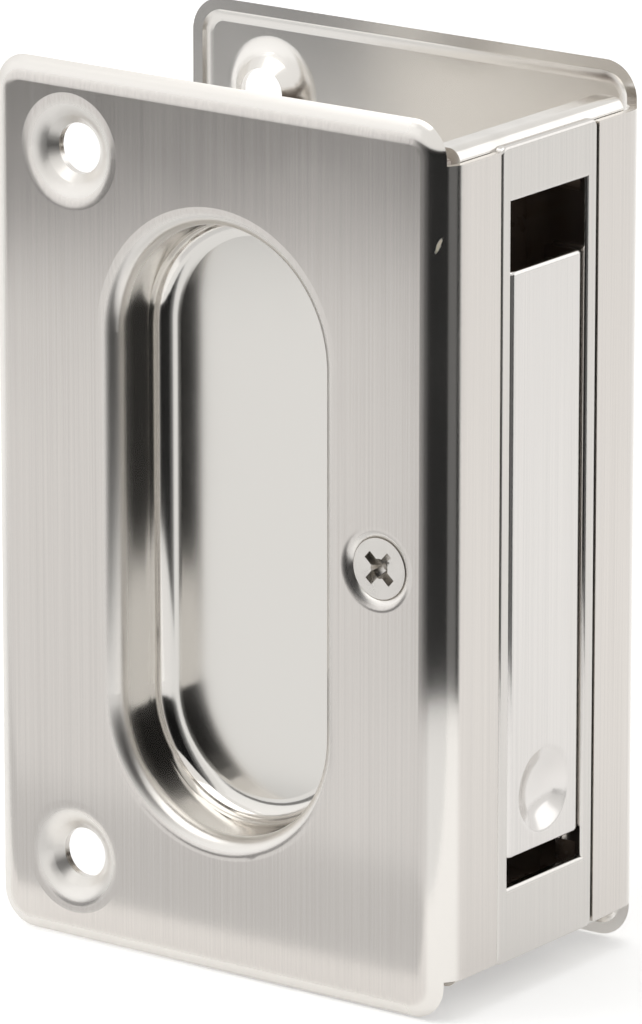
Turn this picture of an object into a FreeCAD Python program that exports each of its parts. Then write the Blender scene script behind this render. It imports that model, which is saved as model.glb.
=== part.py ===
import FreeCAD, Part
import math
import os
import re

import Sketcher

# Pocket door pull with an edge pull. Units are millimetres.
# +X points out of the door's edge, -Y is the front face of the door, +Z is up.
# The origin is under the middle of the pull, at the height of the plates' lower rims.

# Driving sizes. Each one becomes a named cell of the sheet.
SIZES = {
    # Whole pull
    "overall_width": 60.5,
    "overall_height": 98.5,
    "door_thickness": 34.9,
    # Trim plates: one stamping, used on both sides of the door
    "plate_sheet": 0.8,
    "roll_radius": 3.6,
    "rim_depth": 1.15,
    "corner_radius": 5.0,
    "flange_end_inset": 4.6,
    "flange_gap": 0.25,
    # Finger cup drawn into each plate
    "cup_rim_inset": 16.55,
    "cup_screw_inset": 7.6,
    "cup_end_inset": 15.35,
    "cup_depth": 8.6,
    "cup_floor_radius": 2.5,
    "cup_lip_radius": 2.3,
    # Dished holes for the wood screws
    "wood_hole_side_inset": 10.6,
    "wood_hole_end_inset": 9.6,
    "wood_hole_diameter": 5.6,
    "wood_dimple_diameter": 9.8,
    "wood_dimple_depth": 1.9,
    "wood_dimple_blend": 3.2,
    # Plate screws and their dished holes
    "screw_inset": 9.1,
    "screw_diameter": 3.4,
    "screw_length": 7.2,
    "screw_head_diameter": 6.7,
    "screw_head_height": 1.9,
    "screw_head_land": 0.2,
    "screw_tip_chamfer": 0.5,
    "screw_hole_clearance": 0.2,
    "screw_head_sink": 0.5,
    "screw_dimple_blend": 0.9,
    "recess_length": 4.2,
    "recess_width": 1.0,
    "recess_depth": 1.4,
    "recess_taper": 8.0,
    "recess_centre_diameter": 2.2,
    "recess_tip_diameter": 0.7,
    "recess_turn": 42.0,
    # Inner bracket that carries the plates and the cover
    "bracket_sheet": 1.2,
    "bracket_side_gap": 0.6,
    "bracket_end_inset": 3.25,
    "bracket_lip": 3.3,
    "bracket_bend": 1.5,
    "tab_height": 14.0,
    "tab_margin": 4.2,
    "tab_bend": 1.8,
    "tab_relief": 1.2,
    "tab_corner_radius": 3.0,
    "tab_collar_wall": 1.0,
    "tab_collar_length": 1.4,
    # Cover between the two flanges, with ears bent in from its window
    "cover_sheet": 1.0,
    "cover_side_margin": 1.85,
    "cover_end_inset": 4.15,
    "cover_edge_radius": 0.4,
    "cover_corner_radius": 0.9,
    "window_width": 13.9,
    "window_top_margin": 6.2,
    "window_bottom_margin": 8.4,
    "window_edge_radius": 0.5,
    "ear_depth": 8.0,
    "ear_end_gap": 1.5,
    "ear_corner_radius": 2.0,
    # Drawn box behind the cover, which closes off the window
    "box_sheet": 0.6,
    "box_depth": 17.0,
    "box_ear_gap": 0.1,
    "box_toe_gap": 0.5,
    "box_corner_radius": 2.6,
    "box_back_radius": 1.6,
    "box_bracket_gap": 0.15,
    # Edge pull, a folded lever in the window
    "pull_sheet": 0.8,
    "pull_side_gap": 0.25,
    "pull_bottom_gap": 3.0,
    "pull_finger_gap": 7.7,
    "pull_recess": 0.25,
    "pull_bend": 0.95,
    "pull_flange_depth": 4.6,
    "pull_end_radius": 0.5,
    "thumb_dish_diameter": 9.6,
    "thumb_dish_floor": 3.6,
    "thumb_dish_depth": 1.45,
    "thumb_dish_floor_radius": 6.0,
    "thumb_dish_blend": 0.9,
    "thumb_dish_height": 6.45,
    "toe_clearance": 0.2,
    "toe_overlap": 2.2,
    "toe_width": 2.0,
    "toe_foot_gap": 0.4,
    "toe_root": 2.0,
    # Pivot pin and return spring
    "pivot_depth": 4.2,
    "pivot_height": 18.0,
    "pivot_diameter": 2.4,
    "pivot_clearance": 0.06,
    "pivot_lobe_wall": 1.2,
    "pin_head_diameter": 3.8,
    "pin_head_height": 0.7,
    "pin_head_radius": 0.4,
    "pin_tail": 0.6,
    "spring_wire": 0.6,
    "spring_bore_clearance": 0.15,
    "spring_pitch": 0.75,
    "spring_turns": 4.25,
    "spring_leg": 5.6,
    "spring_leg_clearance": 0.1,
    "spring_hook_reach": 3.0,
    "spring_hook_clearance": 0.15,
    "spring_hook_setback": 0.1,
}

# Places that several pieces share, worked out from the sizes above.
MID_HEIGHT = "(overall_height / 2)"
DOOR_EDGE = "(overall_width / 2)"
FACE_DEPTH = "(door_thickness / 2 + rim_depth)"
RIM_SETBACK = "(roll_radius - sqrt(roll_radius^2 - (roll_radius - rim_depth)^2))"
COVER_HALF = "(window_width / 2 + cover_side_margin)"
FLANGE_REACH = f"({FACE_DEPTH} - {COVER_HALF} - flange_gap)"
HEAD_SLOPE = "((screw_head_diameter - screw_diameter) / 2 / (screw_head_height - screw_head_land))"
SCREW_HOLE_RADIUS = "(screw_diameter / 2 + screw_hole_clearance)"
SCREW_DIMPLE_RADIUS = f"(screw_head_diameter / 2 + (screw_head_sink + screw_head_land) * {HEAD_SLOPE})"
SCREW_DIMPLE_DEPTH = f"(({SCREW_DIMPLE_RADIUS} - {SCREW_HOLE_RADIUS}) / {HEAD_SLOPE})"
SCREW_X = f"({DOOR_EDGE} - screw_inset)"
TAB_FACE = f"({FACE_DEPTH} - {SCREW_DIMPLE_DEPTH} - plate_sheet)"
FLANGE_HALF = f"({MID_HEIGHT} - flange_end_inset)"
CUP_LEFT = f"(-{DOOR_EDGE} + cup_rim_inset)"
CUP_RIGHT = f"({SCREW_X} - cup_screw_inset)"
CUP_CENTRE = f"(({CUP_LEFT} + {CUP_RIGHT}) / 2)"
CUP_WIDTH = f"({CUP_RIGHT} - {CUP_LEFT})"
CUP_LENGTH = "(overall_height - 2 * cup_end_inset)"
BRACKET_HALF_WIDTH = f"({TAB_FACE} - bracket_side_gap)"
WEB_OUT = f"({DOOR_EDGE} - cover_sheet)"
WEB_IN = f"({WEB_OUT} - bracket_sheet)"
WINDOW_BOTTOM = "(cover_end_inset + window_bottom_margin)"
WINDOW_TOP = "(overall_height - cover_end_inset - window_top_margin)"
EAR_OUT = "(window_width / 2 + cover_sheet)"
BOX_OUT = f"({EAR_OUT} + box_ear_gap + box_sheet)"
BOX_BACK = f"({DOOR_EDGE} - box_depth)"
BOX_LOW = f"({WINDOW_BOTTOM} - toe_overlap - box_toe_gap - box_sheet)"
BOX_TOP = f"({WINDOW_TOP} + box_sheet)"
PULL_FACE = f"({DOOR_EDGE} - pull_recess)"
PULL_BOTTOM = f"({WINDOW_BOTTOM} + pull_bottom_gap)"
PULL_LENGTH = f"({WINDOW_TOP} - pull_finger_gap - {PULL_BOTTOM})"
PULL_HALF_WIDTH = "(window_width / 2 - pull_side_gap)"
PIVOT_X = f"({DOOR_EDGE} - pivot_depth)"
PIVOT_Z = f"({PULL_BOTTOM} + pivot_height)"
COIL_RADIUS = "(pivot_diameter / 2 + spring_bore_clearance + spring_wire / 2)"

NEAR = 1e-4

doc = FreeCAD.newDocument("pocket_door_pull")
sheet = doc.addObject("Spreadsheet::Sheet", "Sizes")
for row, (alias, value) in enumerate(SIZES.items(), start=1):
    sheet.set(f"A{row}", alias)
    sheet.set(f"B{row}", str(value))
    sheet.setAlias(f"B{row}", alias)
doc.recompute()


def sized(text):
    """Point the size names in an expression at the sheet's cells."""
    return re.sub(r"[a-z][a-z_]*", lambda word: f"Sizes.{word[0]}" if word[0] in SIZES else word[0], text)


def number(text):
    """Work out an expression in sizes as a plain number."""
    return float(sheet.evalExpression(sized(text)))


def bind(thing, name, text):
    """Tie a property to an expression in sizes."""
    thing.setExpression(name, sized(text))


def new_body(label, x="0", y="0", z="0", rotation=None):
    """Start a sub-part at a bound place."""
    body = doc.addObject("PartDesign::Body", label)
    body.Label = label
    if rotation is not None:
        body.Placement = FreeCAD.Placement(FreeCAD.Vector(), rotation)
    for axis, text in zip("xyz", (x, y, z)):
        bind(body, f"Placement.Base.{axis}", text)
    return body


def attach(body, thing, plane, offset):
    """Lay a sketch or primitive on one of its body's origin planes, at an offset along its normal."""
    support = next(feature for feature in body.Origin.OriginFeatures if feature.Role == plane)
    thing.AttachmentSupport = [(support, "")]
    thing.MapMode = "FlatFace"
    bind(thing, "AttachmentOffset.Base.z", offset)


def new_sketch(body, name, plane, offset="0"):
    """Start a sketch on an origin plane of its body."""
    sketch = body.newObject("Sketcher::SketchObject", name)
    attach(body, sketch, plane, offset)
    return sketch


def pin_point(sketch, geometry, point, x, y):
    """Hold one point of a sketch by its two coordinates."""
    for kind, text in (("DistanceX", x), ("DistanceY", y)):
        place = sketch.addConstraint(Sketcher.Constraint(kind, -1, 1, geometry, point, number(text)))
        bind(sketch, f"Constraints[{place}]", text)


def set_radius(sketch, geometry, text):
    """Hold the radius of a circle or arc."""
    place = sketch.addConstraint(Sketcher.Constraint("Radius", geometry, number(text)))
    bind(sketch, f"Constraints[{place}]", text)


def draw_polygon(sketch, corners):
    """Draw a closed outline of straight sides through bound corners."""
    spots = [FreeCAD.Vector(number(x), number(y), 0) for x, y in corners]
    following = spots[1:] + spots[:1]
    sides = [sketch.addGeometry(Part.LineSegment(*ends)) for ends in zip(spots, following)]
    for side, after in zip(sides, sides[1:] + sides[:1]):
        sketch.addConstraint(Sketcher.Constraint("Coincident", side, 2, after, 1))
    for side, (x, y) in zip(sides, corners):
        pin_point(sketch, side, 1, x, y)


def draw_rectangle(sketch, left, right, low, high):
    """Draw a rectangle between bound sides."""
    draw_polygon(sketch, [(left, low), (right, low), (right, high), (left, high)])


def draw_circle(sketch, x, y, radius):
    """Draw a circle at a bound place."""
    centre = FreeCAD.Vector(number(x), number(y), 0)
    circle = sketch.addGeometry(Part.Circle(centre, FreeCAD.Vector(0, 0, 1), number(radius)))
    pin_point(sketch, circle, 3, x, y)
    set_radius(sketch, circle, radius)


def draw_obround(sketch, x, width, length):
    """Draw an upright slot with full round ends, centred on the sketch's horizontal axis."""
    radius = f"({width}) / 2"
    reach = f"(({length}) - ({width})) / 2"
    across, half, up = number(x), number(radius), number(reach)
    normal = FreeCAD.Vector(0, 0, 1)
    upper = Part.Circle(FreeCAD.Vector(across, up, 0), normal, half)
    lower = Part.Circle(FreeCAD.Vector(across, -up, 0), normal, half)
    top = sketch.addGeometry(Part.ArcOfCircle(upper, 0, math.pi))
    left = sketch.addGeometry(
        Part.LineSegment(FreeCAD.Vector(across - half, up, 0), FreeCAD.Vector(across - half, -up, 0))
    )
    bottom = sketch.addGeometry(Part.ArcOfCircle(lower, math.pi, 2 * math.pi))
    right = sketch.addGeometry(
        Part.LineSegment(FreeCAD.Vector(across + half, -up, 0), FreeCAD.Vector(across + half, up, 0))
    )
    for before, after in ((top, left), (left, bottom), (bottom, right), (right, top)):
        sketch.addConstraint(Sketcher.Constraint("Tangent", before, 2, after, 1))
    pin_point(sketch, top, 3, x, reach)
    pin_point(sketch, bottom, 3, x, f"-({reach})")
    set_radius(sketch, top, radius)


def pad(body, name, sketch, length, reverse=False, symmetric=False):
    """Raise a sketch into a solid of a bound length."""
    feature = body.newObject("PartDesign::Pad", name)
    feature.Profile = sketch
    feature.Reversed = reverse
    if symmetric:
        feature.SideType = "Symmetric"
    bind(feature, "Length", length)
    doc.recompute()
    return feature


def pocket(body, name, sketch, length=None, reverse=False, symmetric=False):
    """Cut a sketch into the body, to a bound depth or right through."""
    feature = body.newObject("PartDesign::Pocket", name)
    feature.Profile = sketch
    feature.Reversed = reverse
    if symmetric:
        feature.SideType = "Symmetric"
    if length is None:
        feature.Type = "ThroughAll"
    else:
        bind(feature, "Length", length)
    doc.recompute()
    return feature


def round_edges(body, name, radius, wanted):
    """Round the body's edges that the given test picks."""
    base = body.Tip
    names = [f"Edge{place}" for place, edge in enumerate(base.Shape.Edges, start=1) if wanted(edge)]
    if not names:
        raise RuntimeError(f"{body.Label}: no edges found for {name}")
    feature = body.newObject("PartDesign::Fillet", name)
    feature.Base = (base, names)
    bind(feature, "Radius", radius)
    doc.recompute()
    return feature


def flat_at(edge, axis, place):
    """Tell whether an edge lies in the plane where one coordinate has the given value."""
    box = edge.BoundBox
    low, high = getattr(box, f"{axis}Min"), getattr(box, f"{axis}Max")
    return abs(low - place) < NEAR and abs(high - place) < NEAR


def along(edge, axis):
    """Tell whether an edge runs straight along an axis."""
    box = edge.BoundBox
    return all(getattr(box, f"{other}Length") < NEAR for other in "XYZ" if other != axis)


def hollow(body, name, sheet_text, is_open):
    """Hollow the body to a sheet's thickness, open at the face that the given test picks."""
    base = body.Tip
    open_face = next(f"Face{place}" for place, face in enumerate(base.Shape.Faces, start=1) if is_open(face))
    shell = body.newObject("PartDesign::Thickness", name)
    shell.Base = (base, [open_face])
    shell.Reversed = True
    bind(shell, "Value", sheet_text)
    doc.recompute()
    return shell


def cone(body, name, kind, plane, place, sizes):
    """Add or cut a cone that points away from the normal of an origin plane."""
    feature = body.newObject(f"PartDesign::{kind}Cone", name)
    turned = FreeCAD.Rotation(FreeCAD.Vector(1, 0, 0), 180)
    feature.AttachmentOffset = FreeCAD.Placement(FreeCAD.Vector(), turned)
    attach(body, feature, plane, place[2])
    bind(feature, "AttachmentOffset.Base.x", place[0])
    bind(feature, "AttachmentOffset.Base.y", place[1])
    for prop, text in zip(("Radius1", "Radius2", "Height"), sizes):
        bind(feature, prop, text)
    doc.recompute()
    return feature


def dished_hole(body, name, x, z, mouth, hole, depth, blend):
    """Dish the plate inward round a screw hole, with the sheet's thickness kept."""
    cone(body, f"{name}_back", "Additive", "XZ_Plane", (x, z, "-plate_sheet"), (mouth, hole, depth))
    cone(body, f"{name}_front", "Subtractive", "XZ_Plane", (x, z, "0"), (mouth, hole, depth))
    sketch = new_sketch(body, f"{name}_hole_sketch", "XZ_Plane")
    draw_circle(sketch, x, z, hole)
    pocket(body, f"{name}_hole", sketch)
    across, up, reach = number(x), number(z), number(mouth)

    def rim_at(depth_text):
        """Pick the dish's outer edge at one depth."""
        place = number(depth_text)
        return lambda edge: (
            flat_at(edge, "Y", place)
            and abs(edge.CenterOfMass.x - across) < reach
            and abs(edge.CenterOfMass.z - up) < reach
            and edge.Length > reach
        )

    round_edges(body, f"{name}_back_blend", blend, rim_at("plate_sheet"))
    round_edges(body, f"{name}_front_blend", f"{blend} + plate_sheet", rim_at("0"))


def trim_plate(label, y, rotation=None):
    """Stamp one plate: rolled rim, door-edge flange, finger cup and three dished holes."""
    body = new_body(label, "0", y, MID_HEIGHT, rotation)

    # A pan with rounded corners and a rolled front edge
    left = f"-{DOOR_EDGE} - {RIM_SETBACK}"
    top = f"{MID_HEIGHT} + {RIM_SETBACK}"
    outline = new_sketch(body, f"{label}_outline", "XZ_Plane")
    draw_rectangle(outline, left, DOOR_EDGE, f"-({top})", top)
    pad(body, f"{label}_pan", outline, FLANGE_REACH, reverse=True)
    round_edges(body, f"{label}_corners", "corner_radius", lambda edge: along(edge, "Y"))
    round_edges(body, f"{label}_roll", "roll_radius", lambda edge: flat_at(edge, "Y", 0))

    # Hollow it to the sheet's thickness
    reach = number(FLANGE_REACH)
    hollow(body, f"{label}_shell", "plate_sheet", lambda face: abs(face.BoundBox.YMin - reach) < NEAR)

    # Trim the walls to the rim's depth, apart from the flange on the door edge
    trim = new_sketch(body, f"{label}_trim_sketch", "XZ_Plane", "-rim_depth")
    inner = f"{DOOR_EDGE} - roll_radius"
    draw_polygon(
        trim,
        [
            ("-overall_width", "-overall_height"),
            ("overall_width", "-overall_height"),
            ("overall_width", f"-{FLANGE_HALF}"),
            (inner, f"-{FLANGE_HALF}"),
            (inner, FLANGE_HALF),
            ("overall_width", FLANGE_HALF),
            ("overall_width", "overall_height"),
            ("-overall_width", "overall_height"),
        ],
    )
    pocket(body, f"{label}_trim", trim)

    # Draw the finger cup
    outside = new_sketch(body, f"{label}_cup_back_sketch", "XZ_Plane")
    draw_obround(outside, CUP_CENTRE, f"{CUP_WIDTH} + 2 * plate_sheet", f"{CUP_LENGTH} + 2 * plate_sheet")
    pad(body, f"{label}_cup_back", outside, "cup_depth + plate_sheet", reverse=True)
    centre = number(CUP_CENTRE)
    half_width = number(f"{CUP_WIDTH} / 2 + plate_sheet") + NEAR

    def cup_edge(depth_text):
        """Pick the cup's edges at one depth."""
        place = number(depth_text)
        return lambda edge: (
            flat_at(edge, "Y", place)
            and edge.BoundBox.XMin > centre - half_width
            and edge.BoundBox.XMax < centre + half_width
        )

    round_edges(body, f"{label}_lip_back", "cup_lip_radius - plate_sheet", cup_edge("plate_sheet"))
    inside = new_sketch(body, f"{label}_cup_sketch", "XZ_Plane")
    draw_obround(inside, CUP_CENTRE, CUP_WIDTH, CUP_LENGTH)
    pocket(body, f"{label}_cup", inside, "cup_depth")
    round_edges(body, f"{label}_floor", "cup_floor_radius", cup_edge("cup_depth"))
    round_edges(body, f"{label}_floor_back", "cup_floor_radius + plate_sheet", cup_edge("cup_depth + plate_sheet"))
    round_edges(body, f"{label}_lip", "cup_lip_radius", cup_edge("0"))

    # Dish the screw holes
    wood_x = f"-{DOOR_EDGE} + wood_hole_side_inset"
    wood_sizes = ("wood_dimple_diameter / 2", "wood_hole_diameter / 2", "wood_dimple_depth", "wood_dimple_blend")
    for end, sign in (("top", ""), ("bottom", "-")):
        wood_z = f"{sign}({MID_HEIGHT} - wood_hole_end_inset)"
        dished_hole(body, f"{label}_{end}", wood_x, wood_z, *wood_sizes)
    screw_sizes = (SCREW_DIMPLE_RADIUS, SCREW_HOLE_RADIUS, SCREW_DIMPLE_DEPTH, "screw_dimple_blend")
    dished_hole(body, f"{label}_screw", SCREW_X, "0", *screw_sizes)
    return body


def plate_screw(label, y, rotation):
    """Turn a flat-head machine screw with a cross recess. Its head's top is at the origin, its tip at +Y."""
    body = new_body(label, SCREW_X, y, MID_HEIGHT, rotation)
    profile = new_sketch(body, f"{label}_profile", "XY_Plane")
    head, shank = "screw_head_diameter / 2", "screw_diameter / 2"
    draw_polygon(
        profile,
        [
            ("0", "0"),
            (head, "0"),
            (head, "screw_head_land"),
            (shank, "screw_head_height"),
            (shank, "screw_length - screw_tip_chamfer"),
            (f"{shank} - screw_tip_chamfer", "screw_length"),
            ("0", "screw_length"),
        ],
    )
    turned = body.newObject("PartDesign::Revolution", f"{label}_turned")
    turned.Profile = profile
    turned.ReferenceAxis = (profile, ["V_Axis"])
    turned.Angle = 360
    doc.recompute()
    recess = new_sketch(body, f"{label}_recess_sketch", "XZ_Plane")
    long, wide = "recess_length / 2", "recess_width / 2"
    draw_polygon(
        recess,
        [
            (wide, wide), (long, wide), (long, f"-{wide}"), (wide, f"-{wide}"),
            (wide, f"-{long}"), (f"-{wide}", f"-{long}"), (f"-{wide}", f"-{wide}"),
            (f"-{long}", f"-{wide}"), (f"-{long}", wide), (f"-{wide}", wide),
            (f"-{wide}", long), (wide, long),
        ],
    )
    wings = pocket(body, f"{label}_recess", recess, "recess_depth")
    bind(wings, "TaperAngle", "-recess_taper")
    centre = ("recess_centre_diameter / 2", "recess_tip_diameter / 2", "recess_depth + recess_tip_diameter / 2")
    cone(body, f"{label}_recess_centre", "Subtractive", "XZ_Plane", ("0", "0", "0"), centre)
    return body


def edge_bracket():
    """Fold the inner bracket: a web with two lips, a window, and a tapped tab for each plate."""
    label = "edge_bracket"
    body = new_body(label)
    low, top = "bracket_end_inset", "(overall_height - bracket_end_inset)"
    lip = f"{WEB_OUT} - bracket_lip"
    profile = new_sketch(body, f"{label}_profile", "XZ_Plane")
    draw_polygon(
        profile,
        [
            (WEB_OUT, low), (WEB_OUT, top), (lip, top), (lip, f"{top} - bracket_sheet"),
            (WEB_IN, f"{top} - bracket_sheet"), (WEB_IN, f"{low} + bracket_sheet"),
            (lip, f"{low} + bracket_sheet"), (lip, low),
        ],
    )
    pad(body, f"{label}_channel", profile, f"2 * {BRACKET_HALF_WIDTH}", symmetric=True)
    web_out, web_in = number(WEB_OUT), number(WEB_IN)
    round_edges(
        body, f"{label}_bend_out", "bracket_bend",
        lambda edge: along(edge, "Y") and flat_at(edge, "X", web_out),
    )
    round_edges(
        body, f"{label}_bend_in", "bracket_bend - bracket_sheet",
        lambda edge: along(edge, "Y") and flat_at(edge, "X", web_in),
    )

    # Tabs behind the plates' screws, each with a collar for the thread
    for side, sign in (("front", "-"), ("rear", "")):
        face, root = f"{sign}{TAB_FACE}", f"{sign}({BRACKET_HALF_WIDTH} - bracket_sheet)"
        back = f"{sign}({TAB_FACE} - bracket_sheet)"
        end = f"{SCREW_X} - tab_margin"
        fold = new_sketch(body, f"{label}_{side}_tab_sketch", "XY_Plane", f"{MID_HEIGHT} - tab_height / 2")
        draw_polygon(
            fold, [(WEB_OUT, root), (WEB_OUT, face), (end, face), (end, back), (WEB_IN, back), (WEB_IN, root)]
        )
        pad(body, f"{label}_{side}_tab", fold, "tab_height")
        slit, beyond = f"{sign}({BRACKET_HALF_WIDTH} - tab_bend - bracket_sheet / 2)", f"{sign}door_thickness"
        for end_name, end_sign in (("low", "-"), ("high", "+")):
            near = f"{MID_HEIGHT} {end_sign} tab_height / 2"
            relief = new_sketch(body, f"{label}_{side}_{end_name}_relief_sketch", "YZ_Plane")
            draw_rectangle(relief, slit, beyond, near, f"{near} {end_sign} tab_relief")
            pocket(body, f"{label}_{side}_{end_name}_relief", relief, symmetric=True)
        face_place, back_place = number(face), number(back)
        round_edges(
            body, f"{label}_{side}_tab_bend_out", "tab_bend",
            lambda edge: along(edge, "Z") and flat_at(edge, "X", web_out) and flat_at(edge, "Y", face_place),
        )
        round_edges(
            body, f"{label}_{side}_tab_bend_in", "tab_bend - bracket_sheet",
            lambda edge: along(edge, "Z") and flat_at(edge, "X", web_in) and flat_at(edge, "Y", back_place),
        )
        collar = new_sketch(body, f"{label}_{side}_collar_sketch", "XZ_Plane", f"-({back})")
        draw_circle(collar, SCREW_X, MID_HEIGHT, "screw_diameter / 2 + tab_collar_wall")
        pad(body, f"{label}_{side}_collar", collar, "tab_collar_length", reverse=side == "front")
    tab_end = number(f"{SCREW_X} - tab_margin")
    round_edges(
        body, f"{label}_tab_corners", "tab_corner_radius",
        lambda edge: along(edge, "Y") and flat_at(edge, "X", tab_end),
    )
    threads = new_sketch(body, f"{label}_thread_sketch", "XZ_Plane")
    draw_circle(threads, SCREW_X, MID_HEIGHT, "screw_diameter / 2")
    pocket(body, f"{label}_threads", threads, symmetric=True)

    # Window that the box behind the cover passes through
    window = new_sketch(body, f"{label}_window_sketch", "YZ_Plane")
    half = f"{BOX_OUT} + box_bracket_gap"
    draw_rectangle(window, f"-({half})", half, f"{BOX_LOW} - box_bracket_gap", f"{BOX_TOP} + box_bracket_gap")
    pocket(body, f"{label}_window", window, symmetric=True)
    return body


def edge_cover():
    """Press the cover: a narrow plate whose window leaves two ears bent inward for the pivot."""
    label = "edge_cover"
    body = new_body(label)
    low, high = "cover_end_inset", "overall_height - cover_end_inset"
    blank = new_sketch(body, f"{label}_blank_sketch", "YZ_Plane", WEB_OUT)
    draw_rectangle(blank, f"-{COVER_HALF}", COVER_HALF, low, high)
    pad(body, f"{label}_blank", blank, "cover_sheet")
    edge = number(DOOR_EDGE)
    round_edges(body, f"{label}_corners", "cover_corner_radius", lambda item: along(item, "X"))
    round_edges(body, f"{label}_easing", "cover_edge_radius", lambda item: flat_at(item, "X", edge))
    window = new_sketch(body, f"{label}_window_sketch", "YZ_Plane", DOOR_EDGE)
    draw_rectangle(window, "-window_width / 2", "window_width / 2", WINDOW_BOTTOM, WINDOW_TOP)
    pocket(body, f"{label}_window", window)

    # Ears along both sides of the window
    inside, outside = "window_width / 2", EAR_OUT
    ear_low, ear_high = f"{WINDOW_BOTTOM} + ear_end_gap", f"{WINDOW_TOP} - ear_end_gap"
    ear_end = f"{DOOR_EDGE} - ear_depth"
    for side, sign in (("front", "-"), ("rear", "")):
        flap = new_sketch(body, f"{label}_{side}_ear_sketch", "XY_Plane", ear_low)
        draw_rectangle(flap, ear_end, DOOR_EDGE, f"{sign}{inside}", f"{sign}{outside}")
        pad(body, f"{label}_{side}_ear", flap, f"({ear_high}) - ({ear_low})")
    half_window = number(inside)
    window_ends = (number(WINDOW_BOTTOM), number(WINDOW_TOP))
    round_edges(
        body, f"{label}_window_edge", "window_edge_radius",
        lambda item: (
            flat_at(item, "X", edge)
            and (
                (along(item, "Z") and abs(abs(item.CenterOfMass.y) - half_window) < NEAR)
                or (along(item, "Y") and any(flat_at(item, "Z", place) for place in window_ends))
            )
        ),
    )
    ear_back = number(ear_end)
    round_edges(
        body, f"{label}_ear_corners", "ear_corner_radius",
        lambda item: along(item, "Y") and flat_at(item, "X", ear_back),
    )

    # Holes for the pivot pin and for the hooked end of the spring
    pivot = new_sketch(body, f"{label}_pivot_sketch", "XZ_Plane")
    draw_circle(pivot, PIVOT_X, PIVOT_Z, "pivot_diameter / 2")
    pocket(body, f"{label}_pivot", pivot, symmetric=True)
    anchor = new_sketch(body, f"{label}_anchor_sketch", "XZ_Plane")
    draw_circle(
        anchor, f"{PIVOT_X} - spring_hook_reach", f"{PIVOT_Z} + {COIL_RADIUS}",
        "spring_wire / 2 + spring_hook_clearance",
    )
    pocket(body, f"{label}_anchor", anchor)
    return body


def pull_box():
    """Draw the box that closes off the window behind the pull, open towards the cover."""
    label = "pull_box"
    body = new_body(label)
    outline = new_sketch(body, f"{label}_outline", "YZ_Plane", BOX_BACK)
    draw_rectangle(outline, f"-{BOX_OUT}", BOX_OUT, BOX_LOW, BOX_TOP)
    pad(body, f"{label}_block", outline, f"{WEB_OUT} - {BOX_BACK}")
    back, front = number(BOX_BACK), number(WEB_OUT)
    round_edges(body, f"{label}_corners", "box_corner_radius", lambda edge: along(edge, "X"))
    round_edges(body, f"{label}_back_edge", "box_back_radius", lambda edge: flat_at(edge, "X", back))
    hollow(body, f"{label}_shell", "box_sheet", lambda face: abs(face.BoundBox.XMin - front) < NEAR)
    pivot = new_sketch(body, f"{label}_pivot_sketch", "XZ_Plane")
    draw_circle(pivot, PIVOT_X, PIVOT_Z, "pivot_diameter / 2")
    pocket(body, f"{label}_pivot", pivot, symmetric=True)
    return body


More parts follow.
